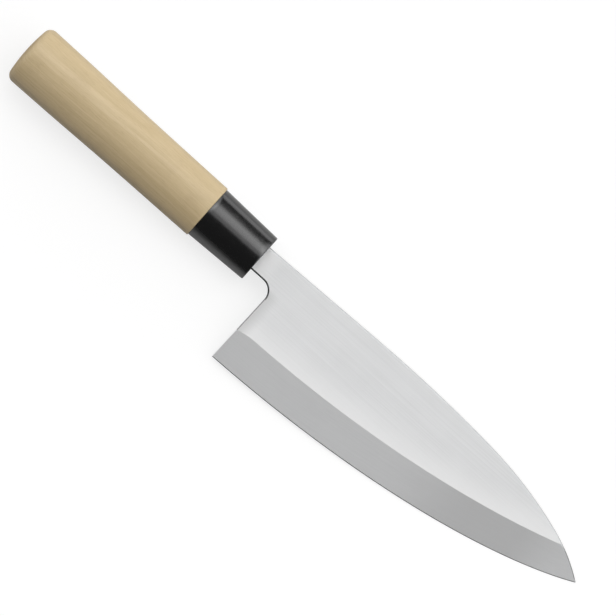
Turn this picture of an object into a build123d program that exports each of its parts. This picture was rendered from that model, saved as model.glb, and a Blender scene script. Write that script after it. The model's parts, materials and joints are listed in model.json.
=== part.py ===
"""Deba knife: single-bevel blade with its tang, ferrule, wooden handle and the bedding round the tang.

Each piece is drawn with the knife level: X runs from the butt to the tip, Y from the edge to the spine, and
Z comes out of the bevelled face. X is zero at the ferrule's mouth, and the handle's axis is Y = Z = 0.
The last section lays the knife down as it rests on a table, bevelled face up. Lengths are millimetres.
"""

from build123d import *
from math import atan2, degrees, radians, sqrt, tan
import os

os.makedirs("parts", exist_ok=True)

# Blade, along and across
blade_length = 179.0
neck_length = 12.45
neck_above_axis = 6.4
neck_below_axis = 5.8
heel_depth = 44.45
heel_lean = 0.4
choil_radius = 5.8
spine_rise = 1.35
tip_drop = 19.55

# Blade, thickness and grinding
neck_thickness = 4.5
tip_thickness = 3.9
heel_bevel_width = 16.9
tip_bevel_width = 12.9
edge_bevel_width = 0.35
edge_bevel_height = 0.22
edge_strokes = 120
face_easing = 0.45
back_easing = 0.25
hollow_depth = 0.4
hollow_wheel_radius = 600.0
hollow_wheel_width = 54.0

# Tang
neck_inside = 7.0
neck_step = 0.1
tang_length = 88.0
tang_height = 10.4
tang_thickness = 4.0
tang_end_height = 5.6
tang_end_thickness = 2.6

# Ferrule
ferrule_length = 29.8
ferrule_step = 0.6
ferrule_taper = 1.0
ferrule_wall = 1.9
ferrule_front_wall = 3.0
ferrule_front_easing = 0.5

# Handle
handle_length = 103.1
handle_front_height = 26.0
handle_front_width = 20.5
handle_swell = 1.2
handle_front_easing = 0.4
butt_dome_radius = 115.0
butt_edge_radius = 2.4

# Fits
bedding_wall = 0.9
slot_clearance = 0.15
glue_gap = 0.05
tenon_end_gap = 0.3
overrun = 5.0

# Lie on the table, in degrees
rest_roll = 5.15
rest_pitch = 1.74

# Outline points: a share of the way along the curve's length, then a share of its rise or drop
edge_shares = ((0.468, 0.031), (0.825, 0.494))
bevel_shares = ((0.455, 0.03), (0.793, 0.597))
bevel_end_share = 0.959
bevel_overrun_share = 0.1
spine_crest_share = 0.265
spine_shares = ((0.50, 0.078), (0.835, 0.48))

# Hollow of the back: shares of the length from the heel, of the heel's depth below the axis, and of the depth
hollow_shares = (
    (0.0, 0.43, -0.30),
    (0.10, 0.415, 0.80),
    (0.35, 0.375, 1.0),
    (0.62, 0.31, 0.60),
    (0.80, 0.28, 0.26),
    (0.97, 0.286, -0.16),
)

# Handle's oval: the radius of its narrow ends, as a share of half its width
oval_end_share = 0.86

# Handle's swell: a share of its length from the front, then a share of the swell at the butt
swell_shares = ((0.0, 0.0), (0.42, 0.28), (0.71, 0.74), (1.0, 1.0))


# Places that several pieces share

heel = Vector(neck_length, -heel_depth)
tip = Vector(heel.X + blade_length, neck_above_axis - tip_drop)
choil = Vector(heel.X + heel_lean, -neck_below_axis)
spine_crest = Vector(heel.X + spine_crest_share * blade_length, neck_above_axis + spine_rise)

back_plane = Plane.XY.offset(-neck_thickness / 2)
thinning = Vector(tip.X, 0, tip_thickness - neck_thickness)
face_plane = Plane(origin=(0, 0, neck_thickness / 2), x_dir=thinning, z_dir=(-thinning.Z, 0, thinning.X))


def point_between(start, end, shares):
    """The point at one share of the way along X and another share of the way along Y."""
    return Vector(start.X + shares[0] * (end.X - start.X), start.Y + shares[1] * (end.Y - start.Y))


def region_above(curve_points, plane, strokes=0):
    """What a grinder leaves above a line, in one sweep or in short strokes, and clear of the blade elsewhere."""
    start, end = curve_points[0], curve_points[-1]
    left = -overrun
    top = spine_crest.Y + overrun
    with BuildSketch(plane) as region:
        with BuildLine():
            Line((left, start.Y), start)
            if strokes:
                curve = Bezier(*curve_points, mode=Mode.PRIVATE)
                Polyline(*(curve @ (stroke / strokes) for stroke in range(strokes + 1)))
            else:
                Bezier(*curve_points)
            Polyline(end, (end.X, top), (left, top), (left, start.Y))
        make_face()
    return region.sketch


def tang_block(growth, front):
    """The neck inside the handle and the tang behind it, larger all round by growth, back from front."""
    neck_height = neck_above_axis + neck_below_axis
    middle = neck_above_axis - neck_height / 2
    fitted_height = neck_height - 2 * neck_step
    fitted_thickness = neck_thickness - 2 * neck_step
    step = -neck_inside - growth
    tail = -tang_length - growth
    side_view = (Plane.XY, middle, fitted_height, tang_height, tang_end_height, Mode.ADD)
    top_view = (Plane.XZ, 0, fitted_thickness, tang_thickness, tang_end_thickness, Mode.INTERSECT)
    with BuildPart() as block:
        for plane, level, *sizes, mode in (side_view, top_view):
            neck_half, tang_half, end_half = (size / 2 + growth for size in sizes)
            upper = [(front, neck_half), (step, neck_half), (step, tang_half), (tail, end_half)]
            lower = [(x, -half) for x, half in reversed(upper)]
            with BuildSketch(plane):
                with BuildLine():
                    Polyline(*((x, level + half) for x, half in upper + lower), close=True)
                make_face()
            extrude(amount=neck_height + growth, both=True, mode=mode)
    return block.part


def ferrule_growth(x):
    """The ferrule's outside at x, as its growth all round from the handle's front oval: always smaller."""
    return -ferrule_step - ferrule_taper * (1 + x / ferrule_length)


def oval_body(stations):
    """A body through ovals, each given as its X and its growth all round from the handle's front oval."""
    half_width = handle_front_width / 2
    end_radius = oval_end_share * half_width
    end_centre = handle_front_height / 2 - end_radius
    side_radius = (end_centre**2 + half_width**2 - end_radius**2) / (2 * (half_width - end_radius))
    side_centre = side_radius - half_width
    turn = degrees(atan2(side_centre, end_centre))
    with BuildPart() as body:
        for x, growth in stations:
            with BuildSketch(Plane.YZ.offset(x)):
                with BuildLine():
                    CenterArc((end_centre, 0), end_radius + growth, -turn, 2 * turn)
                    CenterArc((0, -side_centre), side_radius + growth, turn, 180 - 2 * turn)
                    CenterArc((-end_centre, 0), end_radius + growth, 180 - turn, 2 * turn)
                    CenterArc((0, side_centre), side_radius + growth, 180 + turn, 180 - 2 * turn)
                make_face()
        loft(ruled=True)
    return body.part


def upper_rim(side):
    """The edges of the plate's side that stay on the blade: along the spine, the neck and the heel."""
    return side.edges().filter_by(lambda edge: 0 < edge.center().X < tip.X and edge.center().Y > heel.Y)


# Blade: a plate eased along its edges, then ground to its bevel, honed along its edge and hollowed behind

edge_curve = [heel, *(point_between(heel, tip, shares) for shares in edge_shares), tip]
edge_bevel = Vector(0, edge_bevel_width)
edge_bevel_curve = [point + edge_bevel for point in edge_curve]

bevel_start = Vector(heel.X, heel.Y + heel_bevel_width)
bevel_end = Vector(heel.X + bevel_end_share * blade_length, tip.Y + tip_bevel_width)
bevel_corner = Vector(tip.X, bevel_end.Y)
bevel_curve = [
    bevel_start,
    *(point_between(bevel_start, bevel_corner, shares) for shares in bevel_shares),
    bevel_end,
]
bevel_climb = [high - low for low, high in zip(edge_bevel_curve, bevel_curve)]
bevel_sections = []
for share in (-bevel_overrun_share, 1 + bevel_overrun_share):
    height = edge_bevel_height + share * (neck_thickness - edge_bevel_height)
    section_curve = [low + climb * share for low, climb in zip(edge_bevel_curve, bevel_climb)]
    bevel_sections.append(region_above(section_curve, back_plane.offset(height)))
with BuildPart() as grinding:
    loft(bevel_sections, ruled=True)

honing_curve = [point - edge_bevel for point in edge_curve]
with BuildPart() as honing:
    add(region_above(honing_curve, back_plane.offset(-edge_bevel_height), edge_strokes))
    extrude(amount=2 * heel_bevel_width, dir=(0, edge_bevel_width, edge_bevel_height))

with BuildPart() as blade:
    with BuildSketch(back_plane):
        with BuildLine():
            spine = Line((0, neck_above_axis), spine_crest)
            for place in (*(point_between(spine_crest, tip, shares) for shares in spine_shares), tip):
                spine = TangentArc(spine @ 1, place, tangent=spine % 1)
            past_tip = tip + (spine % 1) * overrun
            foot = heel.Y - overrun
            Polyline(tip, past_tip, (past_tip.X, foot), (heel.X, foot), heel, choil)
            Polyline(choil, (0, choil.Y), (0, neck_above_axis))
        make_face()
        fillet(vertices().sort_by_distance(choil)[0], choil_radius)
    extrude(amount=neck_thickness)
    split(bisect_by=face_plane, keep=Keep.BOTTOM)

    fillet(upper_rim(faces().sort_by(Axis.Z)[-1]), face_easing)
    chamfer(upper_rim(faces().sort_by(Axis.Z)[0]), back_easing)

    add(grinding.part, mode=Mode.INTERSECT)
    add(honing.part, mode=Mode.INTERSECT)

    half_width = hollow_wheel_width / 2
    wheel_sag = hollow_wheel_radius - sqrt(hollow_wheel_radius**2 - half_width**2)
    for along, across, depth in hollow_shares:
        middle = -across * heel_depth
        top = depth * hollow_depth - neck_thickness / 2
        with BuildSketch(Plane.YZ.offset(heel.X + along * blade_length)):
            with BuildLine():
                low_end = (middle - half_width, top - wheel_sag)
                high_end = (middle + half_width, top - wheel_sag)
                ThreePointArc(low_end, (middle, top), high_end)
                bottom = top - overrun
                Polyline(high_end, (high_end[0], bottom), (low_end[0], bottom), low_end)
            make_face()
    loft(mode=Mode.SUBTRACT)

    add(tang_block(0, 0))

# Ferrule: a tapering oval cap, open behind, with a slot for the neck in its front wall

ferrule_stations = [(x, ferrule_growth(x)) for x in (-ferrule_length, 0)]
cavity_stations = [(x, ferrule_growth(x) - ferrule_wall) for x in (-ferrule_length, -ferrule_front_wall)]
with BuildPart() as ferrule:
    add(oval_body(ferrule_stations))
    chamfer(edges().group_by(Axis.X)[-1], ferrule_front_easing)
    add(oval_body(cavity_stations), mode=Mode.SUBTRACT)
    add(tang_block(slot_clearance, overrun), mode=Mode.SUBTRACT)

# Handle: an oval that swells towards a domed butt, with a tenon for the ferrule and a slot for the tang

drawn_length = handle_length + overrun
handle_stations = [(-ferrule_length - place * drawn_length, share * handle_swell) for place, share in swell_shares]
tenon_inset = ferrule_wall + glue_gap
tenon_end = -ferrule_front_wall - tenon_end_gap
tenon_stations = [(x, ferrule_growth(x) - tenon_inset) for x in (-ferrule_length, tenon_end)]
with BuildPart() as handle:
    add(oval_body(handle_stations))
    with Locations((butt_dome_radius - ferrule_length - handle_length, 0, 0)):
        Sphere(butt_dome_radius, mode=Mode.INTERSECT)
    fillet(edges().group_by(Axis.X)[0], butt_edge_radius)
    chamfer(edges().group_by(Axis.X)[-1], handle_front_easing)
    add(oval_body(tenon_stations))
    add(tang_block(bedding_wall + glue_gap, 0), mode=Mode.SUBTRACT)

# Bedding: the cured resin that fills the slot round the neck and the tang

with BuildPart() as tang_bedding:
    add(tang_block(bedding_wall, -ferrule_front_wall))
    add(tang_block(0, 0), mode=Mode.SUBTRACT)

# Rest: the knife lies on the belly of its edge and on the rim where the wood begins, bevelled face up, with its
# balance point over the line between them. The table falls away from the knife's X and rises along its Y.

table = Plane(
    origin=(0, 0, 0),
    x_dir=(1, 0, tan(radians(rest_pitch))),
    z_dir=(-tan(radians(rest_pitch)), tan(radians(rest_roll)), 1),
)
pieces = {"blade": blade, "ferrule": ferrule, "handle": handle, "tang_bedding": tang_bedding}
boxes = [table.to_local_coords(piece.part).bounding_box() for piece in pieces.values()]
lowest = Vector(*(min(getattr(box.min, axis) for box in boxes) for axis in "XYZ"))
highest = Vector(*(max(getattr(box.max, axis) for box in boxes) for axis in "XYZ"))
middle = (lowest + highest) / 2
place = Location(Vector(-middle.X, -middle.Y, -lowest.Z)) * table.location.inverse()

for name, piece in pieces.items():
    piece.part = piece.part.moved(place)
    piece.part.label = name
    export_step(piece.part, f"parts/{name}.step")

print("handle axis at the ferrule's mouth:", (place * Location((0, 0, 0))).position)
for name, piece in pieces.items():
    print(name, len(piece.part.solids()), piece.part.is_valid, piece.part.volume, piece.part.bounding_box())
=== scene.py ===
"""Deba knife: the looks of its blade, ferrule, handle and tang bedding, in a plain studio.

The pieces are shaped with the knife level, in millimetres: X runs from the butt to the tip, Y from the edge to the
spine, and Z comes out of the bevelled face. LEVEL_TO_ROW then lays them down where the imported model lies.
"""

import json
from math import cos, pi, radians, sin, sqrt

import bmesh
import bpy
from mathutils import Matrix, Vector


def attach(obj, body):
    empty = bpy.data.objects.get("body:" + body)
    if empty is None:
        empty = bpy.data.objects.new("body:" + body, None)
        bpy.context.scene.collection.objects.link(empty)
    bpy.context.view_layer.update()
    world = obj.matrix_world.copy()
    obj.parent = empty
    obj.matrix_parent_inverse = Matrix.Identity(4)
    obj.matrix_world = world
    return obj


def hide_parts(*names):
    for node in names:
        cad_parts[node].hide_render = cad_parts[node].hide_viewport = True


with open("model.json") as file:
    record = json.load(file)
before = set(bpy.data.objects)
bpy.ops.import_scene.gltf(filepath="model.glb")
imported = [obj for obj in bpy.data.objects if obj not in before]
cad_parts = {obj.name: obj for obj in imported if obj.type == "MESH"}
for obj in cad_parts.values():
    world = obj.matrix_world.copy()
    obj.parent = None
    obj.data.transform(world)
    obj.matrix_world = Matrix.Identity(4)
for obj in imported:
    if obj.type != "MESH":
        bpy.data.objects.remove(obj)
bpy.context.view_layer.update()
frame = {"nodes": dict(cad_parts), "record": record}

# Sizes of the knife, in millimetres
BLADE_LENGTH = 179.0
NECK_LENGTH = 12.45
NECK_ABOVE = 6.4
NECK_BELOW = 5.8
HEEL_DEPTH = 44.45
HEEL_LEAN = 0.4
CHOIL_RADIUS = 5.8
SPINE_RISE = 1.35
TIP_DROP = 19.55
NECK_THICKNESS = 4.5
TIP_THICKNESS = 3.9
HEEL_BEVEL_WIDTH = 16.9
TIP_BEVEL_WIDTH = 12.9
HEEL_DIP = 1.3
HEEL_DIP_LENGTH = 7.4
EDGE_BEVEL_WIDTH = 0.35
EDGE_BEVEL_HEIGHT = 0.22
FACE_EASING = 0.45
BACK_EASING = 0.25
HOLLOW_DEPTH = 0.4
HOLLOW_WHEEL_RADIUS = 600.0
NECK_INSIDE = 7.0
NECK_STEP = 0.1
TANG_LENGTH = 88.0
TANG_HEIGHT = 10.4
TANG_THICKNESS = 4.0
TANG_END_HEIGHT = 5.6
TANG_END_THICKNESS = 2.6
FERRULE_LENGTH = 29.8
FERRULE_STEP = 0.6
FERRULE_TAPER = 1.0
FERRULE_WALL = 1.9
FERRULE_FRONT_WALL = 3.0
FERRULE_EASING = 0.5
HANDLE_LENGTH = 103.1
HANDLE_HEIGHT = 26.0
HANDLE_WIDTH = 20.5
HANDLE_SWELL = 1.2
HANDLE_EASING = 0.4
BEDDING_WALL = 0.9
SLOT_CLEARANCE = 0.15
GLUE_GAP = 0.05
TENON_END_GAP = 0.3

# The butt is rounder than the solid's, which has a dome of 115 and an edge of 2.4, because the photograph's is
BUTT_DOME_RADIUS = 75.0
BUTT_EDGE_RADIUS = 3.0

# How far the swell and the rooms for the tang run on past their pieces, how blunt the tip is, how far the handle
# stays inside its solid, and how the ferrule's back rim is rounded
OVERRUN = 5.0
TIP_BLUNTNESS = 0.3
HANDLE_SHYNESS = 0.02
FERRULE_LIP = 0.15
FERRULE_LIP_BEND = 0.04

# Outline points: a share of the way along, then a share of the rise or drop
EDGE_SHARES = ((0.468, 0.031), (0.825, 0.494))
BEVEL_SHARES = ((0.455, 0.03), (0.793, 0.597))
BEVEL_END_SHARE = 0.959
CREST_SHARE = 0.265
SPINE_SHARES = ((0.50, 0.078), (0.835, 0.48))
OVAL_END_SHARE = 0.86

# The back's hollow: a share of the way along, where its middle is and how deep it is, as shares too. The handle's
# swell: a share of the way along, and its share of the swell
HOLLOW_SHARES = (
    (0.0, 0.43, -0.30),
    (0.10, 0.415, 0.80),
    (0.35, 0.375, 1.0),
    (0.62, 0.31, 0.60),
    (0.80, 0.28, 0.26),
    (0.97, 0.286, -0.16),
)
SWELL_SHARES = ((0.0, 0.0), (0.42, 0.28), (0.71, 0.74), (1.0, 1.0))

# The end faces of the oval pieces, as shares of the way inwards, the face in front of the wood, in growth, and where
# along the handle the doming starts
FERRULE_FACE_SHARES = (1.0, 0.75, 0.5, 0.25, 0.1, 0.0)
FERRULE_HOLLOW_SHARES = (0.0, 0.5, 1.0)
TENON_FACE_SHARES = (1.0, 0.5, 0.0)
BUTT_FACE_SHARES = (0.04, 0.12, 0.24, 0.36, 0.48, 0.6, 0.72, 0.84, 0.93, 1.0)
FRONT_FACE_GROWTHS = (-1.2, -0.8)
DOMING_START = 0.8

# How finely the pieces are meshed
BLADE_ROWS = 110
BEVEL_COLUMNS = 8
LOWER_COLUMNS = 8
UPPER_COLUMNS = 6
LAND_COLUMNS = 3
HOLLOW_COLUMNS = 12
CHOIL_STEPS = 14
NECK_STEPS = 5
ROUND_STEPS = 112
FERRULE_STEPS = 12
HANDLE_STEPS = 40
FERRULE_CORNER_STEPS = 5
HANDLE_CORNER_STEPS = 4
BUTT_CORNER_STEPS = 8
HALVINGS = 40
MERGE_DISTANCE = 0.002
SLIVER = 0.0005
SHARP_ANGLE = 25

# How the rows across the blade lie: how they crowd towards the tip and how far the last one stays from it, what the
# rim may take of a row, where the choil's foot goes, how far from the heel that and the heel's lean fade out, and
# how far up a ruling the spine is looked for
TIP_CROWDING = 1.3
TIP_ROW_GAP = 0.0005
RIM_SHARE = 0.45
FOOT_SHARE = 0.45
FOOT_FADE = 12.0
LEAN_FADE = 15.0
RULING_REACH = 1.3

# How they lie on the back: beside the edge, across the hollow and over it. The easing takes only a share of the
# thickness
EDGE_ROOM_SHARE = 0.1
LEAST_HALF_HOLLOW = 6.0
LOWER_LIMITS = (0.04, 0.48)
UPPER_LIMITS = (0.52, 0.97)
STAND_SHARE = 0.4
LEAST_STAND_SHARE = 0.15
BACK_EASING_SHARE = 0.3

HEEL = Vector((NECK_LENGTH, -HEEL_DEPTH))
TIP = Vector((NECK_LENGTH + BLADE_LENGTH, NECK_ABOVE - TIP_DROP))
CREST = Vector((HEEL.x + CREST_SHARE * BLADE_LENGTH, NECK_ABOVE + SPINE_RISE))
CHOIL_FOOT = -NECK_BELOW - CHOIL_RADIUS
BACK = -NECK_THICKNESS / 2
NECK_HEIGHT = NECK_ABOVE + NECK_BELOW
NECK_MIDDLE = (NECK_ABOVE - NECK_BELOW) / 2
NECK_TENON = (NECK_HEIGHT - 2 * NECK_STEP, NECK_THICKNESS - 2 * NECK_STEP)
GRIND_RISE = NECK_THICKNESS - EDGE_BEVEL_HEIGHT
BUTT_END = -FERRULE_LENGTH - HANDLE_LENGTH


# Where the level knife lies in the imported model's frame

MM = 0.001
mounts = {mount["name"]: mount for mount in frame["record"]["mounts"]}
knife_x = Vector(mounts["grip"]["axis"]).normalized()
knife_z = -Vector(mounts["back_face"]["axis"]).normalized()
knife_y = knife_z.cross(knife_x).normalized()
turn = Matrix((knife_x, knife_y, knife_z)).transposed()
grip_level = Vector((-FERRULE_LENGTH - HANDLE_LENGTH / 2, 0, 0))
origin = Vector(mounts["grip"]["pos_m"]) - turn @ grip_level * MM
LEVEL_TO_ROW = Matrix.Translation(origin) @ turn.to_4x4() @ Matrix.Scale(MM, 4)


# Node trees, written as expressions


class Wire:
    """An output of a node that can be used in sums."""

    def __init__(self, bench, socket):
        self.bench = bench
        self.socket = socket

    def __add__(self, other):
        return self.bench.sum("ADD", self, other)

    def __radd__(self, other):
        return self.bench.sum("ADD", other, self)

    def __sub__(self, other):
        return self.bench.sum("SUBTRACT", self, other)

    def __rsub__(self, other):
        return self.bench.sum("SUBTRACT", other, self)

    def __mul__(self, other):
        return self.bench.sum("MULTIPLY", self, other)

    def __rmul__(self, other):
        return self.bench.sum("MULTIPLY", other, self)

    def __truediv__(self, other):
        return self.bench.sum("DIVIDE", self, other)

    def __gt__(self, other):
        return self.bench.sum("GREATER_THAN", self, other)


class Bench:
    """A node tree being made."""

    def __init__(self, tree):
        self.tree = tree

    def node(self, kind, settings=None, sockets=None, output=0):
        """A new node, with its settings made before its sockets are filled. Gives one of its outputs."""
        made = self.tree.nodes.new(kind)
        for name, value in (settings or {}).items():
            setattr(made, name, value)
        for key, value in (sockets or {}).items():
            if isinstance(value, Wire):
                self.tree.links.new(value.socket, made.inputs[key])
            else:
                made.inputs[key].default_value = value
        return Wire(self, made.outputs[output])

    def sum(self, operation, *terms):
        return self.node("ShaderNodeMath", {"operation": operation}, dict(enumerate(terms)))

    def vector(self, operation, *terms):
        return self.node("ShaderNodeVectorMath", {"operation": operation}, dict(enumerate(terms)))

    def mix(self, share, first, second):
        """A colour between two colours."""
        settings = {"data_type": "RGBA"}
        return self.node("ShaderNodeMix", settings, {0: share, 6: first, 7: second}, 2)

    def step(self, value, low, high):
        """A smooth rise from 0 to 1 as value goes from low to high."""
        settings = {"interpolation_type": "SMOOTHSTEP"}
        return self.node("ShaderNodeMapRange", settings, {0: value, 1: low, 2: high})

    def parts(self, vector):
        """The three parts of a vector."""
        split = self.node("ShaderNodeSeparateXYZ", None, {0: vector}).socket.node
        return [Wire(self, output) for output in split.outputs]

    def join(self, x, y, z):
        """A vector of three parts."""
        return self.node("ShaderNodeCombineXYZ", None, {0: x, 1: y, 2: z})

    def bump(self, strength, depth, height):
        """A bump that is depth millimetres deep where height is 1."""
        return self.node("ShaderNodeBump", None, {"Strength": strength, "Distance": depth * MM, "Height": height})

    def noise(self, place, scale, detail, roughness, lacunarity=2.0, distortion=0.0):
        sockets = {
            "Vector": place,
            "Scale": scale,
            "Detail": detail,
            "Roughness": roughness,
            "Lacunarity": lacunarity,
            "Distortion": distortion,
        }
        return self.node("ShaderNodeTexNoise", None, sockets)


def grey(level):
    return (level, level, level, 1)


def cool_grey(level):
    return (level, level + 0.005, level + 0.01, 1)


def level_place(bench):
    """A point's place on the level knife, in millimetres."""
    back = turn.transposed()
    settings = {"vector_type": "POINT"}
    coordinates = bench.node("ShaderNodeTexCoord", None, None, 3)
    sockets = {
        "Vector": coordinates,
        "Location": -(back @ origin) / MM,
        "Rotation": back.to_euler(),
        "Scale": (1 / MM, 1 / MM, 1 / MM),
    }
    return bench.node("ShaderNodeMapping", settings, sockets)


def finish(name, paint):
    """A material whose look paint makes on an emptied bench, as the sockets of its shader."""
    material = bpy.data.materials.new(name)
    material.use_nodes = True
    bench = Bench(material.node_tree)
    bench.tree.nodes.clear()
    shader = bench.node("ShaderNodeBsdfPrincipled", None, paint(bench))
    output = bench.tree.nodes.new("ShaderNodeOutputMaterial")
    bench.tree.links.new(shader.socket, output.inputs["Surface"])
    return material


# Sums that the shapes share


def between(start, end, shares):
    """The point at one share of the way along X and another share of the way along Y."""
    return Vector((start.x + shares[0] * (end.x - start.x), start.y + shares[1] * (end.y - start.y)))


def bezier(points, t):
    a, b, c, d = points
    s = 1 - t
    return a * s**3 + b * (3 * t * s * s) + c * (3 * t * t * s) + d * t**3


def clamp(value, low=0.0, high=1.0):
    return min(max(value, low), high)


def smooth(share):
    share = clamp(share)
    return share * share * (3 - 2 * share)


def smooth_run(stops, along, part):
    """One part's value at a place along the stops, on a curve that runs smoothly through them."""
    last = len(stops) - 1
    i = max(k for k in range(last) if k == 0 or stops[k][0] <= along)
    width = stops[i + 1][0] - stops[i][0]
    t = clamp((along - stops[i][0]) / width)

    def slope(k):
        low, high = stops[max(k - 1, 0)], stops[min(k + 1, last)]
        return (high[part] - low[part]) / (high[0] - low[0])

    return (
        stops[i][part] * (1 + 2 * t) * (1 - t) ** 2
        + stops[i + 1][part] * t * t * (3 - 2 * t)
        + slope(i) * width * t * (1 - t) ** 2
        - slope(i + 1) * width * t * t * (1 - t)
    )


def steps_to(start, end, count):
    """The places that lead from start to end in equal steps, without start."""
    return [start + (end - start) * (i / count) for i in range(1, count + 1)]


def quarter_turn(steps):
    """The cosine and the sine of each angle that leads through a quarter turn in equal steps."""
    return [(cos(pi / 2 * i / steps), sin(pi / 2 * i / steps)) for i in range(steps + 1)]


def last_before(low, high, holds):
    """The last value between low and high for which holds is true, found by halving."""
    for _ in range(HALVINGS):
        middle = (low + high) / 2
        if holds(middle):
            low = middle
        else:
            high = middle
    return low


# The blade's outline and surfaces

EDGE_CURVE = [HEEL, *(between(HEEL, TIP, shares) for shares in EDGE_SHARES), TIP]
BEVEL_START = Vector((HEEL.x, HEEL.y + HEEL_BEVEL_WIDTH))
BEVEL_END = Vector((HEEL.x + BEVEL_END_SHARE * BLADE_LENGTH, TIP.y + TIP_BEVEL_WIDTH))
BEVEL_CORNER = Vector((TIP.x, BEVEL_END.y))
BEVEL_CURVE = [
    BEVEL_START,
    *(between(BEVEL_START, BEVEL_CORNER, shares) for shares in BEVEL_SHARES),
    BEVEL_END,
]
THINNING = (NECK_THICKNESS - TIP_THICKNESS) / TIP.x
SPINE_SLOPE = SPINE_RISE / CREST.x


def spine_arcs():
    """The arcs that carry the spine from its crest to the tip, each as where it ends, its centre and its radius."""
    arcs = []
    start = CREST
    direction = Vector((1, SPINE_SLOPE)).normalized()
    for shares in (*SPINE_SHARES, (1.0, 1.0)):
        end = between(CREST, TIP, shares)
        chord = end - start
        side = Vector((direction.y, -direction.x))
        radius = chord.length_squared / (2 * chord.dot(side))
        arcs.append((end.x, start + side * radius, radius))
        direction = (chord * (2 * direction.dot(chord) / chord.length_squared) - direction).normalized()
        start = end
    return arcs


SPINE_ARCS = spine_arcs()


def spine(x):
    """The spine's height at x and the direction out of it."""
    if x <= CREST.x:
        return NECK_ABOVE + SPINE_SLOPE * x, Vector((-SPINE_SLOPE, 1)).normalized()
    for end, centre, radius in SPINE_ARCS:
        if x <= end + 1e-6:
            break
    y = centre.y + sqrt(max(radius**2 - (x - centre.x) ** 2, 0))
    return y, (Vector((x, y)) - centre).normalized()


def face_height(x):
    return NECK_THICKNESS / 2 - THINNING * x


def easing_drop(inset):
    """How far the rounded rim has fallen below the flat side at this inset from the outline."""
    short = max(FACE_EASING - inset, 0)
    return FACE_EASING - sqrt(FACE_EASING**2 - short**2)


def hollow_at(x):
    """The middle and the depth of the back's hollow at x."""
    along = (x - HEEL.x) / BLADE_LENGTH
    return -smooth_run(HOLLOW_SHARES, along, 1) * HEEL_DEPTH, smooth_run(HOLLOW_SHARES, along, 2) * HOLLOW_DEPTH


def back_height(x, y):
    middle, depth = hollow_at(x)
    return BACK + max(depth - (y - middle) ** 2 / (2 * HOLLOW_WHEEL_RADIUS), 0)


# A row's points: how far in from the outline those of its rim are, how many steps the rim has, and which points are
# the choil's foot and the outline
INSETS = (0.7, FACE_EASING, 0.2, 0.06, 0.0)
RIM = len(INSETS) - 1
FOOT = 1 + BEVEL_COLUMNS + LOWER_COLUMNS
LAST = FOOT + UPPER_COLUMNS + RIM


def line_point(t):
    """A point of the line where the bevel meets the flat side. The line dips a little beside the heel."""
    point = bezier(BEVEL_CURVE, t)
    left = max(1 - (point.x - HEEL.x) / HEEL_DIP_LENGTH, 0)
    return point - Vector((0, HEEL_DIP * left**1.5))


def bevel_line(x):
    """The height of the bevel line at x."""
    return line_point(last_before(0.0, 1.0, lambda t: line_point(t).x < x)).y


def leant(points):
    """Points of a row, moved along X by the lean of the heel."""
    moved = []
    for point, z in points:
        lean = HEEL_LEAN * (min(point.y, CHOIL_FOOT) - HEEL.y) / (-NECK_BELOW - HEEL.y)
        lean *= 1 - smooth((point.x - HEEL.x) / LEAN_FADE)
        moved.append((point + Vector((lean, 0)), z))
    return moved


def ruling(t):
    """One ruling of the grinding, at share t of the edge: its places on the edge and over the edge's bevel, its climb
    from there to the bevel line, and the shares of that climb at which it meets the flat side and the spine."""
    edge = bezier(EDGE_CURVE, t)
    low = edge + Vector((0, EDGE_BEVEL_WIDTH))
    climb = line_point(t) - low

    def below_spine(share):
        point = low + climb * share
        return point.y < spine(min(point.x, TIP.x))[0]

    face_share = (GRIND_RISE - THINNING * low.x) / (GRIND_RISE + THINNING * climb.x)
    return edge, low, climb, face_share, last_before(0.0, RULING_REACH, below_spine)


def back_levels(edge, rim_y, room, fade):
    """The heights of a row's points on the back, from beside the edge, across the hollow and up to the rim."""
    near = edge.y + min(EDGE_BEVEL_WIDTH, EDGE_ROOM_SHARE * room)
    span = rim_y - near
    middle, depth = hollow_at(edge.x)
    half = max(sqrt(2 * HOLLOW_WHEEL_RADIUS * max(depth, 0)), LEAST_HALF_HOLLOW)
    lower = near + span * clamp((middle - half - near) / span, *LOWER_LIMITS)
    upper = near + span * clamp((middle + half - near) / span, *UPPER_LIMITS)
    stand = CHOIL_FOOT + (upper + STAND_SHARE * (rim_y - upper) - CHOIL_FOOT) * fade
    stand = max(stand, upper + LEAST_STAND_SHARE * (rim_y - upper))
    levels = [near, *steps_to(near, lower, LAND_COLUMNS - 1), *steps_to(lower, upper, HOLLOW_COLUMNS)]
    return levels + [(upper + stand) / 2, stand, *steps_to(stand, rim_y, UPPER_COLUMNS)]


def on_path(path, y):
    """The point at height y of a path that climbs."""
    for start, end in zip(path, path[1:]):
        if y <= end.y or end is path[-1]:
            return start + (end - start) * clamp((y - start.y) / max(end.y - start.y, 1e-6))


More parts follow.
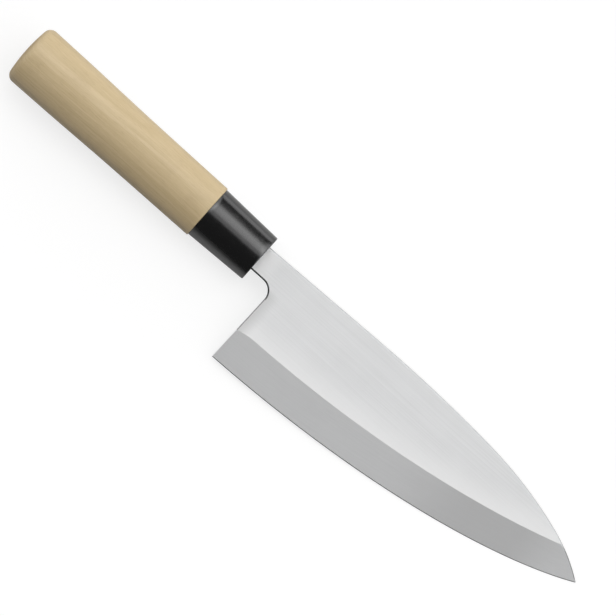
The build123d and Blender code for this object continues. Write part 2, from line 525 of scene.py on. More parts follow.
def blade_row(t, inset):
    """The front and back points of one row across the blade, at share t of the edge. inset is how far it is in from
    the heel, where that is less than the easing."""
    edge, low, climb, face_share, spine_share = ruling(t)
    reaches_flat = face_share < spine_share
    bend = low + climb * min(face_share, spine_share)
    top = Vector((bend.x, spine(bend.x)[0])) if reaches_flat else bend
    out = spine(min(top.x, TIP.x))[1]
    room = (top - low).length
    scale = min(1.0, RIM_SHARE * room / INSETS[0])
    rim = [top - out * (step * scale) for step in INSETS]
    if not reaches_flat or bend.y > rim[0].y:
        bend = rim[0]
    fade = smooth((edge.x - HEEL.x) / FOOT_FADE)
    heel_share = (CHOIL_FOOT - bend.y) / max(rim[0].y - bend.y, 1e-6)
    foot = bend + (rim[0] - bend) * (heel_share + (FOOT_SHARE - heel_share) * fade)

    def ground(point):
        """The height of the ground side over a point of this ruling."""
        share = (point - low).dot(climb) / climb.length_squared
        face = face_height(point.x)
        return min(BACK + EDGE_BEVEL_HEIGHT + share * GRIND_RISE, face) if share < face_share else face

    points = steps_to(low, bend, BEVEL_COLUMNS) + steps_to(bend, foot, LOWER_COLUMNS)
    points += steps_to(foot, rim[0], UPPER_COLUMNS)
    front = [(edge, BACK), (low, BACK + EDGE_BEVEL_HEIGHT)] + [(point, ground(point)) for point in points]
    for step, point in zip(INSETS[1:], rim[1:]):
        front.append((point, min(ground(point), face_height(point.x) - easing_drop(step))))
    if inset < FACE_EASING:
        front = [(point, min(z, face_height(point.x) - easing_drop(inset))) for point, z in front]
    front[0] = (edge, BACK)

    behind = [(edge, BACK)]
    for y in back_levels(edge, rim[0].y, room, fade):
        point = on_path([edge, low, bend, rim[0]], y)
        behind.append((point, back_height(point.x, point.y)))
    highest = BACK_EASING_SHARE * (front[-1][1] - BACK)
    for step, point in zip(INSETS[1:], rim[1:]):
        behind.append((point, BACK + min(max(BACK_EASING - step, 0), highest)))
    if inset < BACK_EASING:
        eased = []
        for (point, z), (_, above) in zip(behind, front):
            rise = min(BACK_EASING - inset, BACK_EASING_SHARE * (above - BACK))
            eased.append((point, max(z, BACK + rise)))
        behind = [(edge, BACK), *eased[1:]]
    return leant(front), leant(behind)


def neck_rows():
    """The rows that fan round the choil and along the neck, from just above the heel's corner to the ferrule. Each
    has its points across the eased rim and then up to the spine."""
    foot_x = HEEL.x + HEEL_LEAN * (CHOIL_FOOT - HEEL.y) / (-NECK_BELOW - HEEL.y)
    centre = Vector((foot_x - CHOIL_RADIUS, CHOIL_FOOT))
    places = []
    for i, direction in enumerate(quarter_turn(CHOIL_STEPS)[1:], 1):
        out = Vector(direction)
        crown = centre.x + (foot_x + INSETS[0] - centre.x) * (1 - i / CHOIL_STEPS)
        places.append((centre + out * CHOIL_RADIUS, out, crown))
    for x in steps_to(centre.x, 0.0, NECK_STEPS):
        places.append((Vector((x, -NECK_BELOW)), Vector((0, 1)), x))
    rows = []
    for outline, out, crown in places:
        y, normal = spine(crown)
        top = Vector((crown, y))
        lower = [outline + out * step for step in reversed(INSETS)]
        upper = [top - normal * step for step in INSETS]
        inner = steps_to(lower[-1], upper[0], UPPER_COLUMNS)[:-1]
        insets = [*reversed(INSETS), *(INSETS[0] for _ in inner), *INSETS]
        points = [*lower, *inner, *upper]
        if len(rows) == len(places) - 1:
            # The last row stands square against the ferrule
            points = [Vector((0, point.y)) for point in points]
        front = [(p, face_height(p.x) - easing_drop(step)) for p, step in zip(points, insets)]
        behind = [(p, BACK + max(BACK_EASING - step, 0)) for p, step in zip(points, insets)]
        rows.append((front, behind))
    return rows


# The blade's zones, each with a finish of its own, and which of them meet without an edge between them
FLAT, BEVEL, EDGE, SIDES, LAND, HOLLOW, TANG, CHOIL = range(8)
SMOOTH_JOINS = ({FLAT, SIDES}, {FLAT, CHOIL}, {SIDES, CHOIL}, {SIDES, LAND}, {CHOIL, LAND})


class Shell:
    """The points and faces of a piece while it is laid out."""

    def __init__(self):
        self.points = []
        self.faces = []
        self.zones = []

    def point(self, place, z):
        self.points.append((place.x, place.y, z))
        return len(self.points) - 1

    def strip(self, first, second, zone):
        """Faces between two lines of points. zone is one zone, or one for each face."""
        for i in range(len(first) - 1):
            self.faces.append((first[i], first[i + 1], second[i + 1], second[i]))
            self.zones.append(zone[i] if isinstance(zone, list) else zone)


def side_wall(shell, front_line, back_line, zones):
    """The side between two rims, with one line of points half way down it. Gives that line."""
    middle = []
    for high, low in zip(front_line, back_line):
        if high == low:
            middle.append(high)
            continue
        a, b = Vector(shell.points[high]), Vector(shell.points[low])
        half_way = (a + b) / 2
        middle.append(shell.point(half_way, half_way.z))
    shell.strip(front_line, middle, zones)
    shell.strip(middle, back_line, zones)
    return middle


def tang_skin(shell, ring):
    """The neck goes on from its last ring into the ferrule a little thinner, and then as the tang."""
    sizes = (
        (0.0, *NECK_TENON),
        (-NECK_INSIDE, *NECK_TENON),
        (-NECK_INSIDE, TANG_HEIGHT, TANG_THICKNESS),
        (-TANG_LENGTH, TANG_END_HEIGHT, TANG_END_THICKNESS),
    )
    places = [shell.points[i] for i in ring]
    line = ring
    for x, high, thick in sizes:
        loop = []
        for _, y, z in places:
            place = Vector((x, NECK_MIDDLE + (y - NECK_MIDDLE) * high / NECK_HEIGHT))
            loop.append(shell.point(place, z * thick / NECK_THICKNESS))
        shell.strip(line + line[:1], loop + loop[:1], TANG)
        line = loop
    shell.faces.append(tuple(line))
    shell.zones.append(TANG)


def blade_mesh():
    """The blade with its tang, as one closed mesh on the level knife."""
    shell = Shell()
    # The edge ends where it comes within the tip's bluntness, and the last row stands just before that
    tip_share = last_before(0.9, 1.0, lambda t: (TIP - bezier(EDGE_CURVE, t)).length > TIP_BLUNTNESS)
    last_share = tip_share - TIP_ROW_GAP
    # The first rows stand as far in from the heel as the rim's points do from the outline
    insets = tuple(reversed(INSETS))
    mm_a_share = 3 * EDGE_SHARES[0][0] * BLADE_LENGTH
    shares = [inset / mm_a_share for inset in insets]
    first_share = shares[-1]
    for i in range(1, BLADE_ROWS + 1):
        done = 1 - (1 - i / BLADE_ROWS) ** TIP_CROWDING
        shares.append(first_share + (last_share - first_share) * done)

    fronts, backs = [], []
    for i, t in enumerate(shares):
        front, behind = blade_row(t, insets[i] if i < len(insets) else INSETS[0])
        reach = FOOT + 1 if i < RIM else LAST + 1
        fronts.append([shell.point(point, z) for point, z in front[:reach]])
        backs.append([fronts[-1][0], *(shell.point(point, z) for point, z in behind[1:reach])])
    tip = shell.point(bezier(EDGE_CURVE, tip_share), BACK)

    upper_zones = [FLAT] * (UPPER_COLUMNS + 1) + [SIDES] * (RIM - 1)
    front_zones = [EDGE] + [BEVEL] * BEVEL_COLUMNS + [FLAT] * LOWER_COLUMNS + upper_zones
    # Over the bevel, the heel's rim goes on with the choil's finish, whose painted dark line fades there
    heel_zones = [EDGE] + [BEVEL] * BEVEL_COLUMNS + [CHOIL] * LOWER_COLUMNS
    over_hollow = LAST - LAND_COLUMNS - HOLLOW_COLUMNS
    back_zones = [LAND] * LAND_COLUMNS + [HOLLOW] * HOLLOW_COLUMNS + [LAND] * over_hollow
    for grid, zones in ((fronts, front_zones), (backs, back_zones)):
        for i, (first, second) in enumerate(zip(grid, grid[1:])):
            reach = min(len(first), len(second))
            eased_heel = grid is fronts and i < RIM - 1
            shell.strip(first[:reach], second[:reach], heel_zones if eased_heel else zones)
        for i in range(LAST):
            shell.faces.append((grid[-1][i], grid[-1][i + 1], tip))
            shell.zones.append(zones[i])

    # The fan round the choil: its lines across the rim go on from the heel's, and its rows from the blade's first
    fan_fronts = [[row[FOOT] for row in fronts[: RIM + 1]] + fronts[RIM][FOOT + 1 :]]
    fan_backs = [[row[FOOT] for row in backs[: RIM + 1]] + backs[RIM][FOOT + 1 :]]
    for front, behind in neck_rows():
        fan_fronts.append([shell.point(point, z) for point, z in front])
        fan_backs.append([shell.point(point, z) for point, z in behind])
    for first, second in zip(fan_fronts, fan_fronts[1:]):
        shell.strip(first, second, [CHOIL] * RIM + upper_zones)
    for first, second in zip(fan_backs, fan_backs[1:]):
        shell.strip(first, second, LAND)

    below = side_wall(
        shell,
        fronts[0][: FOOT + 1] + [row[0] for row in fan_fronts[1:]],
        backs[0][: FOOT + 1] + [row[0] for row in fan_backs[1:]],
        [SIDES] * FOOT + [CHOIL] * (len(fan_fronts) - 1),
    )
    above = side_wall(
        shell,
        [row[-1] for row in reversed(fan_fronts)] + [row[LAST] for row in fronts[RIM + 1 :]] + [tip],
        [row[-1] for row in reversed(fan_backs)] + [row[LAST] for row in backs[RIM + 1 :]] + [tip],
        SIDES,
    )
    tang_skin(shell, fan_fronts[-1] + [above[0]] + list(reversed(fan_backs[-1])) + [below[-1]])
    return shell


def lay_down(name, mesh, materials, sharp_angle=None):
    """A piece from a mesh of the level knife: cleaned, turned the right way out and laid where the model lies. Its
    edges are sharp past sharp_angle or, without one, between zones that don't join smoothly."""
    work = bmesh.new()
    work.from_mesh(mesh)
    bmesh.ops.remove_doubles(work, verts=work.verts, dist=MERGE_DISTANCE)
    bmesh.ops.dissolve_degenerate(work, edges=work.edges, dist=SLIVER)
    bmesh.ops.recalc_face_normals(work, faces=work.faces)
    for face in work.faces:
        face.smooth = True
    if sharp_angle is None:
        for edge in work.edges:
            zones = {face.material_index for face in edge.link_faces}
            edge.smooth = len(zones) == 1 or zones in SMOOTH_JOINS
    work.to_mesh(mesh)
    work.free()
    if sharp_angle is not None:
        mesh.set_sharp_from_angle(angle=radians(sharp_angle))
    mesh.transform(LEVEL_TO_ROW)
    zones = [polygon.material_index for polygon in mesh.polygons]
    mesh.materials.clear()
    for material in materials:
        mesh.materials.append(material)
    mesh.polygons.foreach_set("material_index", zones)
    mesh.name = name
    piece = bpy.data.objects.new(name, mesh)
    bpy.context.scene.collection.objects.link(piece)
    return piece


# Oval bodies: a profile along the axis, swept round the handle's oval by geometry nodes


def sweep_tree(material):
    """A node group that sweeps a profile round an oval. The profile is a line of points: X is the place along the
    axis, Y the growth all round from the front oval, and Z how far the oval has shrunk towards the axis. Its doming
    says how far each point follows the ball that shapes the butt."""
    tree = bpy.data.node_groups.new("oval_sweep", "GeometryNodeTree")
    outside = tree.interface
    outside.new_socket("Profile", in_out="INPUT", socket_type="NodeSocketGeometry")
    for name, kind in (
        ("Profile points", "NodeSocketInt"),
        ("Points round", "NodeSocketInt"),
        ("Height", "NodeSocketFloat"),
        ("Width", "NodeSocketFloat"),
        ("End share", "NodeSocketFloat"),
        ("Dome radius", "NodeSocketFloat"),
    ):
        outside.new_socket(name, in_out="INPUT", socket_type=kind)
    outside.new_socket("Body", in_out="OUTPUT", socket_type="NodeSocketGeometry")
    bench = Bench(tree)
    group = tree.nodes.new("NodeGroupInput")
    given = {socket.name: Wire(bench, socket) for socket in group.outputs if socket.name}

    half_width = given["Width"] / 2
    end_radius = given["End share"] * half_width
    end_centre = given["Height"] / 2 - end_radius
    reach = end_centre * end_centre + half_width * half_width - end_radius * end_radius
    side_radius = reach / (2 * (half_width - end_radius))
    side_centre = side_radius - half_width
    span = bench.sum("SQRT", side_centre * side_centre + end_centre * end_centre)

    counts = {"Vertices X": given["Profile points"], "Vertices Y": given["Points round"]}
    grid = bench.node("GeometryNodeMeshGrid", None, {"Size X": 1.0, "Size Y": 1.0, **counts})
    across, around, _ = bench.parts(bench.node("GeometryNodeInputPosition"))
    index = bench.sum("ROUND", (across + 0.5) * (given["Profile points"] - 1))
    angle = (around + 0.5) * (2 * pi)

    def sampled(value, kind):
        settings = {"data_type": kind, "domain": "POINT"}
        return bench.node("GeometryNodeSampleIndex", settings, {0: given["Profile"], 1: value, 2: index})

    profile = sampled(bench.node("GeometryNodeInputPosition"), "FLOAT_VECTOR")
    doming = bench.node("GeometryNodeInputNamedAttribute", {"data_type": "FLOAT"}, {"Name": "doming"})
    doming = sampled(doming, "FLOAT")
    along, growth, shrink = bench.parts(profile)

    high = bench.sum("COSINE", angle)
    wide = bench.sum("SINE", angle)
    at_end = bench.sum("ABSOLUTE", high) > end_centre / span
    radius = growth + side_radius + (end_radius - side_radius) * at_end
    kept = 1 - shrink
    y = (bench.sum("SIGN", high) * end_centre * at_end + radius * high) * kept
    z = (radius * wide - bench.sum("SIGN", wide) * side_centre * (1 - at_end)) * kept
    ball = given["Dome radius"]
    sag = ball - bench.sum("SQRT", ball * ball - y * y - z * z)
    place = bench.join(along + sag * doming, y, z)
    moved = bench.node("GeometryNodeSetPosition", None, {"Geometry": grid, "Position": place})
    merged = bench.node("GeometryNodeMergeByDistance", None, {"Geometry": moved, "Distance": MERGE_DISTANCE})
    whole = bench.node("GeometryNodeRealizeInstances", None, {0: merged})
    coated = bench.node("GeometryNodeSetMaterial", None, {"Geometry": whole, "Material": material})
    output = tree.nodes.new("NodeGroupOutput")
    tree.links.new(coated.socket, output.inputs["Body"])
    return tree


def swept_body(name, profile, material, cutters=()):
    """A closed oval body from (along, growth, shrink, doming) points, with what the cutters hold taken out of it."""
    mesh = bpy.data.meshes.new(name + "_profile")
    mesh.from_pydata([point[:3] for point in profile], [(i, i + 1) for i in range(len(profile) - 1)], [])
    doming = mesh.attributes.new("doming", "FLOAT", "POINT")
    for item, point in zip(doming.data, profile):
        item.value = point[3]
    body = bpy.data.objects.new(name + "_sweep", mesh)
    bpy.context.scene.collection.objects.link(body)
    tree = sweep_tree(material)
    sweep = body.modifiers.new("sweep", "NODES")
    sweep.node_group = tree
    values = {
        "Profile points": len(profile),
        "Points round": ROUND_STEPS + 1,
        "Height": HANDLE_HEIGHT,
        "Width": HANDLE_WIDTH,
        "End share": OVAL_END_SHARE,
        "Dome radius": BUTT_DOME_RADIUS,
    }
    for socket in tree.interface.items_tree:
        if socket.in_out == "INPUT" and socket.name in values:
            sweep[socket.identifier] = values[socket.name]
    for cutter in cutters:
        cut = body.modifiers.new("cut", "BOOLEAN")
        cut.operation = "DIFFERENCE"
        cut.solver = "EXACT"
        cut.object = cutter
    scene_state = bpy.context.evaluated_depsgraph_get()
    made = bpy.data.meshes.new_from_object(body.evaluated_get(scene_state))
    bpy.data.objects.remove(body)
    return made


def tang_block(name, growth, front):
    """The room for the neck and the tang, larger all round by growth, back from front."""
    sections = (
        (front, *NECK_TENON),
        (-NECK_INSIDE - growth, *NECK_TENON),
        (-NECK_INSIDE - growth, TANG_HEIGHT, TANG_THICKNESS),
        (-TANG_LENGTH - growth, TANG_END_HEIGHT, TANG_END_THICKNESS),
    )
    corners = ((1, 1), (1, -1), (-1, -1), (-1, 1))
    shell = Shell()
    loops = []
    for x, high, thick in sections:
        half_high, half_thick = high / 2 + growth, thick / 2 + growth
        loops.append([shell.point(Vector((x, NECK_MIDDLE + a * half_high)), b * half_thick) for a, b in corners])
    for first, second in zip(loops, loops[1:]):
        shell.strip(first + first[:1], second + second[:1], 0)
    shell.faces += [tuple(loops[0]), tuple(loops[-1])]
    mesh = bpy.data.meshes.new(name)
    mesh.from_pydata(shell.points, [], shell.faces)
    work = bmesh.new()
    work.from_mesh(mesh)
    bmesh.ops.recalc_face_normals(work, faces=work.faces)
    work.to_mesh(mesh)
    work.free()
    block = bpy.data.objects.new(name, mesh)
    bpy.context.scene.collection.objects.link(block)
    return block


def ferrule_growth(x):
    """The ferrule's outside at x, as its growth all round from the handle's front oval: always smaller."""
    return -FERRULE_STEP - FERRULE_TAPER * (1 + x / FERRULE_LENGTH)


def ferrule_profile():
    """The ferrule's outline from the middle of its front face round to the front of its hollow."""
    front, back, end = 0.0, -FERRULE_LENGTH, -FERRULE_FRONT_WALL
    outside = ferrule_growth(front)
    points = [(front, outside - 2 * FERRULE_EASING, share, 0.0) for share in FERRULE_FACE_SHARES]
    for along, out in quarter_turn(FERRULE_CORNER_STEPS):
        points.append((FERRULE_EASING * (along - 1), outside - FERRULE_EASING * (1 - out), 0.0, 0.0))
    for x in steps_to(-FERRULE_EASING, back + FERRULE_LIP, FERRULE_STEPS):
        points.append((x, ferrule_growth(x), 0.0, 0.0))
    outside = ferrule_growth(back)
    points.append((back + FERRULE_LIP_BEND, outside - FERRULE_LIP_BEND, 0.0, 0.0))
    points.append((back, outside - FERRULE_LIP, 0.0, 0.0))
    points.append((back, outside - FERRULE_WALL, 0.0, 0.0))
    inside = ferrule_growth(end) - FERRULE_WALL
    return points + [(end, inside, share, 0.0) for share in FERRULE_HOLLOW_SHARES]


def swell(share):
    """The handle's swell at a share of its length."""
    return HANDLE_SWELL * smooth_run(SWELL_SHARES, share, 1)


def handle_profile():
    """The handle's outline from the middle of its tenon's end to the middle of its domed butt."""
    end = -FERRULE_FRONT_WALL - TENON_END_GAP
    inset = FERRULE_WALL + GLUE_GAP
    front = -FERRULE_LENGTH
    points = [(end, ferrule_growth(end) - inset, share, 0.0) for share in TENON_FACE_SHARES]
    points.append((front, ferrule_growth(front) - inset, 0.0, 0.0))
    points += [(front, growth, 0.0, 0.0) for growth in FRONT_FACE_GROWTHS]
    for along, out in quarter_turn(HANDLE_CORNER_STEPS):
        points.append((front - HANDLE_EASING * (1 - along), -HANDLE_EASING * (1 - out), 0.0, 0.0))
    butt = BUTT_END + HANDLE_SHYNESS
    for i, x in enumerate(steps_to(front - HANDLE_EASING, butt + BUTT_EDGE_RADIUS, HANDLE_STEPS), 1):
        growth = swell((front - x) / (HANDLE_LENGTH + OVERRUN)) - HANDLE_SHYNESS
        doming = smooth((i / HANDLE_STEPS - DOMING_START) / (1 - DOMING_START))
        points.append((x, growth, 0.0, doming))
    wide = points[-1][1]
    for inwards, along in quarter_turn(BUTT_CORNER_STEPS)[1:]:
        x = butt + BUTT_EDGE_RADIUS * (1 - along)
        points.append((x, wide - BUTT_EDGE_RADIUS * (1 - inwards), 0.0, 1.0))
    narrow = points[-1][1]
    return points + [(butt, narrow, share, 1.0) for share in BUTT_FACE_SHARES]


# Finishes

# From where to where they change, in millimetres: the painted highlight over the bevel line, the painted light along
# from the ferrule, the painted shade along from the heel and up from it, the choil's painted dark line up the choil,
# along the bevel, over the butt's edge and up the ferrule's lower side
OVER_LINE = (-4.0, 13.0)
BESIDE_FERRULE = (0.0, 11.0)
BESIDE_HEEL = (HEEL.x, HEEL.x + 7.0)
OVER_HEEL = (CHOIL_FOOT + 1.0, CHOIL_FOOT + 6.0)
UP_CHOIL = (CHOIL_FOOT - 1.5, CHOIL_FOOT + 4.0)
BEVEL_DARKENS = (95.0, 140.0)
BEVEL_LIGHTENS = (158.0, 184.0)
OVER_BUTT_EDGE = (BUTT_END + 0.6, BUTT_END + 2.2)
UP_FERRULE = (-9.5, -7.0)

# Where the middle of the tree was, seen from the handle's axis, and the colours of its wood
PITH_Y = -34.0
PITH_Z = -46.0
WOOD_SHADE = (0.54, 0.412, 0.222, 1)
WOOD_TONE = (0.67, 0.532, 0.325, 1)
HAIR_COLOR = (0.43, 0.31, 0.17, 1)
PORE_COLOR = (0.27, 0.18, 0.09, 1)
FLECK_COLOR = (0.42, 0.3, 0.16, 1)
END_GRAIN_COLOR = (0.33, 0.235, 0.13, 1)
HANDLED_COLOR = (0.40, 0.29, 0.165, 1)


def streaks(bench, place, run, across, seed):
    """Noise drawn out along X: run and across are the length and the width of a streak in millimetres."""
    shape = (1 / run, 1 / across, 1 / across)
    moved = bench.vector("ADD", bench.vector("MULTIPLY", place, shape), (seed, seed * 2, seed * 3))
    return bench.noise(moved, 1.0, 2.0, 0.5)


def steel(name, tone, shade, rough, mark, depth, metal=1.0, tint=None, along_edge=False):
    """Ground steel: tone is its lightest colour and shade its darkest, mark the length and width of a grinding mark
    and depth how deep the marks are. They run along the knife, or along the edge. tint makes the colour and the
    metal differ from place to place."""

    def paint(bench):
        place = level_place(bench)
        grind = bench.node("ShaderNodeAttribute", {"attribute_name": "grind"}, None, 1)
        marks_place = grind if along_edge else place
        length, width = mark
        marks = streaks(bench, marks_place, length, width, 3.0)
        broad_marks = streaks(bench, marks_place, length * 2.5, width * 5, 11.0)
        cloud = bench.noise(place, 0.035, 3.0, 0.55)
        mottle = bench.noise(place, 0.6, 2.0, 0.5)
        wear = bench.step(marks * 0.45 + broad_marks * 0.3 + cloud * 0.25, 0.36, 0.64)
        color, metallic = bench.mix(wear, shade, tone), metal
        if tint:
            color, metallic = tint(bench, place, grind, color, metal)
        return {
            "Base Color": color,
            "Metallic": metallic,
            "Roughness": rough + (marks - 0.5) * 0.16 + (mottle - 0.5) * 0.06,
            "Normal": bench.bump(1.0, depth, marks * 0.7 + broad_marks * 0.3),
        }

    return finish(name, paint)


def flat_side_painted_light(bench, place, grind, color, metal):
    """A painted highlight over the bevel line, painted light beside the ferrule and painted shade beside the heel."""
    x, y, _ = bench.parts(place)
    # Painted highlight: paler and less metal just over the bevel line
    painted_highlight_over_line = 1 - bench.step(bench.parts(grind)[2], *OVER_LINE)
    # Painted light: paler and less metal on the neck beside the ferrule, against the shade the ferrule casts there
    painted_light_by_ferrule = 1 - bench.step(x, *BESIDE_FERRULE)
    # Painted shade: darker on the flat beside the heel, below the choil's foot
    painted_shade_by_heel = (1 - bench.step(x, *BESIDE_HEEL)) * (1 - bench.step(y, *OVER_HEEL))
    color = bench.mix(painted_highlight_over_line * 0.9, color, grey(0.93))
    color = bench.mix(painted_light_by_ferrule, color, grey(1.0))
    color = bench.mix(painted_shade_by_heel, color, grey(0.7))
    return color, metal - painted_highlight_over_line * 0.3 - painted_light_by_ferrule * 0.2


def bevel_tint(bench, place, grind, color, metal):
    """Darker before the tip."""
    x = bench.parts(grind)[0]
    darker = bench.step(x, *BEVEL_DARKENS) * (1 - bench.step(x, *BEVEL_LIGHTENS))
    return bench.mix(darker * 0.5, color, grey(0.6)), metal


def painted_dark_choil_tint(bench, place, grind, color, metal):
    """A painted dark line: the choil's near-black colour stands in for its shade and dark reflection, fading to a
    lighter rim where it goes on down the heel.
    """
    up_choil = bench.step(bench.parts(place)[1], *UP_CHOIL)
    return bench.mix(up_choil, grey(0.3), color), metal


def wood_paint(bench):
    """Pale close-grained wood: bands of growth, fine fibres, dark pores and a little handling."""
    place = level_place(bench)
    x, y, z = bench.parts(place)
    drift = bench.noise(bench.vector("MULTIPLY", place, (0.008, 0.03, 0.03)), 1.0, 2.0, 0.5)
    pith_y = y - PITH_Y + (drift - 0.5) * 6
    pith_z = z - PITH_Z + (drift - 0.5) * 3
    radius = bench.sum("SQRT", pith_y * pith_y + pith_z * pith_z)
    band_place = bench.join(x * 0.004, radius * 0.55, drift * 0.2)
    bands = bench.noise(band_place, 1.0, 2.0, 0.55)
    fine_place = bench.join(x * 0.012, radius * 1.9, z * 0.15)
    fine_bands = bench.noise(fine_place, 1.0, 2.0, 0.6)
    fibres = streaks(bench, place, 16.0, 0.22, 5.0)
    hairs = streaks(bench, place, 5.0, 0.09, 17.0)
    pores = bench.step(streaks(bench, place, 2.6, 0.13, 29.0), 0.66, 0.78)
    cloud = bench.noise(bench.vector("MULTIPLY", place, (0.02, 0.06, 0.06)), 1.0, 3.0, 0.6)

    tone = bands * 0.3 + fine_bands * 0.3 + fibres * 0.28 + cloud * 0.12
    color = bench.mix(bench.step(tone, 0.32, 0.68), WOOD_SHADE, WOOD_TONE)
    color = bench.mix(bench.step(hairs, 0.45, 0.8) * 0.25, color, HAIR_COLOR)
    flecks = bench.step(streaks(bench, place, 4.5, 0.38, 41.0), 0.56, 0.72)
    color = bench.mix(pores * 0.35, color, PORE_COLOR)
    color = bench.mix(flecks * 0.3, color, FLECK_COLOR)
    end_grain = 1 - bench.step(x, *OVER_BUTT_EDGE)
    color = bench.mix(end_grain * 0.45, color, END_GRAIN_COLOR)
    handled = bench.noise(place, 0.07, 3.0, 0.6)
    color = bench.mix(bench.step(handled, 0.52, 0.75) * 0.16, color, HANDLED_COLOR)
    roughness = 0.44 + (fibres - 0.5) * 0.2 + pores * 0.15 + end_grain * 0.18
    height = fibres * 0.5 + hairs * 0.3 - pores * 0.8 + bands * 0.2
    bump = bench.bump(0.8, 0.05, height)
    return {"Base Color": color, "Roughness": roughness, "Normal": bump, "Specular IOR Level": 0.6}


def ferrule_paint(bench):
    """Polished black: a faint brown cloud in it, fine polishing marks, a few dull spots and a rubbed lower side."""
    place = level_place(bench)
    cloud = bench.noise(bench.vector("MULTIPLY", place, (0.03, 0.09, 0.09)), 1.0, 4.0, 0.6, 2.0, 0.6)
    marks = streaks(bench, place, 9.0, 0.12, 7.0)
    dull = bench.noise(place, 0.35, 4.0, 0.65)
    color = bench.mix(bench.step(cloud, 0.4, 0.7), (0.002, 0.002, 0.0022, 1), (0.0045, 0.0042, 0.004, 1))
    rubbed = 1 - bench.step(bench.parts(place)[1], *UP_FERRULE)
    roughness = 0.17 + (marks - 0.5) * 0.1 + bench.step(dull, 0.52, 0.75) * 0.08 + rubbed * 0.25
    bump = bench.bump(0.6, 0.01, marks * 0.6 + dull * 0.4)
    return {"Base Color": color, "Roughness": roughness, "Normal": bump, "IOR": 1.9}


def resin_paint(bench):
    """Cured filler: amber brown, with specks of wood dust."""
    place = level_place(bench)
    cloud = bench.noise(place, 0.12, 4.0, 0.6)
    dust = bench.noise(place, 2.2, 2.0, 0.5)
    color = bench.mix(cloud, (0.36, 0.27, 0.15, 1), (0.5, 0.41, 0.26, 1))
    color = bench.mix(bench.step(dust, 0.6, 0.72) * 0.5, color, (0.2, 0.14, 0.08, 1))
    return {"Base Color": color, "Roughness": 0.45 + cloud * 0.2, "Normal": bench.bump(0.5, 0.05, dust)}


def floor_paint(bench):
    """A matt studio floor. It looks white and keeps the knife's shadow, but throws little light back at the knife."""
    coordinates = bench.node("ShaderNodeTexCoord", None, None, 3)
    cloud = bench.noise(coordinates, 1.5, 3.0, 0.5)
    rays = bench.node("ShaderNodeLightPath").socket.node.outputs
    seen = Wire(bench, rays["Is Camera Ray"])
    mirrored = Wire(bench, rays["Is Glossy Ray"]) + Wire(bench, rays["Is Transmission Ray"])
    mirrored = bench.sum("MINIMUM", mirrored, 1.0)
    return {
        "Base Color": bench.mix(mirrored, bench.mix(cloud, grey(0.27), grey(0.3)), grey(0.88)),
        "Roughness": 0.9,
        "Specular IOR Level": 0.1,
        "Emission Color": bench.mix(seen, grey(0.0), grey(0.75)),
        "Emission Strength": 1.0,
    }


# Each steel: its name, lightest and darkest colour, roughness, the length and width of a mark and how deep the marks
# are. Then, for those that aren't all metal or one colour, their metal and tint
blade_finishes = [
    steel("steel_flat_side", cool_grey(0.86), cool_grey(0.8), 0.5, (30.0, 0.16), 0.004, 0.5, flat_side_painted_light),
    steel("steel_bevel", cool_grey(0.88), cool_grey(0.84), 0.5, (24.0, 0.14), 0.005, 0.42, bevel_tint, True),
    # The edge bevel's darker steel is painted shade for the dark line along the edge
    steel("steel_edge_bevel", cool_grey(0.46), cool_grey(0.39), 0.42, (6.0, 0.08), 0.002),
    # The eased rim's darker steel is painted shade that keeps the rim from showing a highlight
    steel("steel_eased_rim", cool_grey(0.58), cool_grey(0.52), 0.55, (10.0, 0.12), 0.004),
    steel("steel_back_land", cool_grey(0.68), cool_grey(0.6), 0.28, (20.0, 0.12), 0.003),
    steel("steel_back_hollow", cool_grey(0.64), cool_grey(0.54), 0.36, (26.0, 0.2), 0.006),
    steel("steel_tang", grey(0.42), (0.28, 0.27, 0.26, 1), 0.5, (4.0, 0.4), 0.01),
    # The choil's near-black steel is a painted dark line standing in for shade and dark reflection
    steel("steel_choil_painted_dark", grey(0.08), grey(0.05), 0.5, (3.0, 0.3), 0.006, tint=painted_dark_choil_tint),
]
wood_finish = finish("pale_wood", wood_paint)
ferrule_finish = finish("polished_black", ferrule_paint)
resin_finish = finish("cured_resin", resin_paint)


# The pieces

shell = blade_mesh()
blade_data = bpy.data.meshes.new("blade_laid_out")
blade_data.from_pydata(shell.points, [], shell.faces)
for polygon, zone in zip(blade_data.polygons, shell.zones):
    polygon.material_index = zone

# Every point's place along the blade, and its height over the edge and over the bevel line
grind = blade_data.attributes.new("grind", "FLOAT_VECTOR", "POINT")
for item, (x, y, _) in zip(grind.data, shell.points):
    share = clamp((x - HEEL.x) / BLADE_LENGTH)
    item.vector = (x, y - bezier(EDGE_CURVE, share).y, y - bevel_line(x))
blade = lay_down("blade_dressed", blade_data, blade_finishes)
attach(blade, "root")
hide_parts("blade")

neck_room = tang_block("neck_room", SLOT_CLEARANCE, OVERRUN)
ferrule_data = swept_body("ferrule", ferrule_profile(), ferrule_finish, [neck_room])
ferrule = lay_down("ferrule_dressed", ferrule_data, [ferrule_finish], SHARP_ANGLE)
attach(ferrule, "root")
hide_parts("ferrule")

tang_room = tang_block("tang_room", BEDDING_WALL + GLUE_GAP, OVERRUN)
handle_data = swept_body("handle", handle_profile(), wood_finish, [tang_room])
handle = lay_down("handle_dressed", handle_data, [wood_finish], SHARP_ANGLE)
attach(handle, "root")
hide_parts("handle")

for cutter in (neck_room, tang_room):
    bpy.data.objects.remove(cutter)

bedding = frame["nodes"]["tang_bedding"]
bedding.data.materials.clear()
bedding.data.materials.append(resin_finish)


# Studio: floor, light and the camera at the photograph's angle

FLOOR_HALF = 4.0
FLOOR_LEVEL = -0.0001
SKY_STRENGTH = 0.07
floor_data = bpy.data.meshes.new("studio_floor")
corners = ((-1, -1), (1, -1), (1, 1), (-1, 1))
floor_data.from_pydata([(x * FLOOR_HALF, y * FLOOR_HALF, FLOOR_LEVEL) for x, y in corners], [], [(0, 1, 2, 3)])
floor = bpy.data.objects.new("studio_floor", floor_data)
bpy.context.scene.collection.objects.link(floor)
floor_data.materials.append(finish("studio_floor", floor_paint))

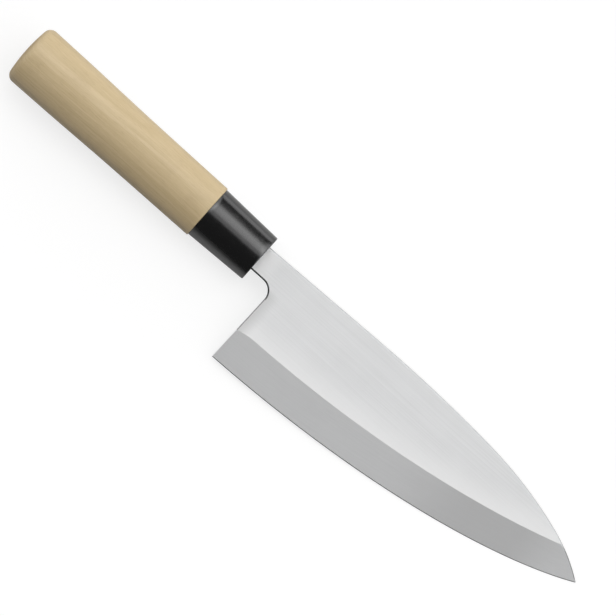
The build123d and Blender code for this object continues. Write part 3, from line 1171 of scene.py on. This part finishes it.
scene = bpy.context.scene
world = bpy.data.worlds.new("studio")
scene.world = world
world.use_nodes = True
sky = world.node_tree.nodes["Background"]
sky.inputs["Color"].default_value = grey(1.0)
sky.inputs["Strength"].default_value = SKY_STRENGTH


def leaning(angle):
    """The way that leans this many degrees from straight over the level knife towards its spine."""
    return 0.0, sin(radians(angle)), cos(radians(angle))


# Each lamp: the way towards it on the level knife, how wide it looks in degrees, and its strength
LAMPS = {
    "softbox_over_the_spine": (leaning(25), 44.0, 0.34),
    "softbox_core": (leaning(28), 24.0, 0.1),
    "softbox_along_the_spine": (leaning(87), 30.0, 0.26),
    "softbox_past_the_tip": ((0.75, 0.43, 0.50), 90.0, 1.98),
    "softbox_past_the_butt": ((-0.75, 0.43, 0.50), 90.0, 1.98),
}
for name, (towards, width, strength) in LAMPS.items():
    lamp = bpy.data.lights.new(name, "SUN")
    lamp.energy = strength
    lamp.angle = radians(width)
    holder = bpy.data.objects.new(name, lamp)
    holder.rotation_euler = (turn @ Vector(towards)).to_track_quat("Z", "Y").to_euler()
    scene.collection.objects.link(holder)

# The camera looks straight down on the level knife: what it looks at, how wide its view is there in millimetres,
# and which way on the knife is to the picture's right
VIEW_CENTRE = (29.1, -2.0, 0.0)
VIEW_WIDTH = 261.2
VIEW_SIDE = (0.7454, 0.6667)
LENS = 800.0
SENSOR = 36.0
FARTHEST_SEEN = 100
camera_data = bpy.data.cameras.new("photo_camera")
camera_data.lens = LENS
camera_data.sensor_width = SENSOR
camera_data.clip_end = FARTHEST_SEEN
camera = bpy.data.objects.new("photo_camera", camera_data)
right = Vector((*VIEW_SIDE, 0)).normalized()
up = Vector((-right.y, right.x, 0))
facing = (turn @ Matrix((right, up, Vector((0, 0, 1)))).transposed()).to_4x4()
distance = VIEW_WIDTH * LENS / SENSOR
camera_place = LEVEL_TO_ROW @ (Vector(VIEW_CENTRE) + Vector((0, 0, distance)))
camera.matrix_world = Matrix.Translation(camera_place) @ facing
scene.collection.objects.link(camera)
scene.camera = camera
scene.view_settings.view_transform = "Standard"
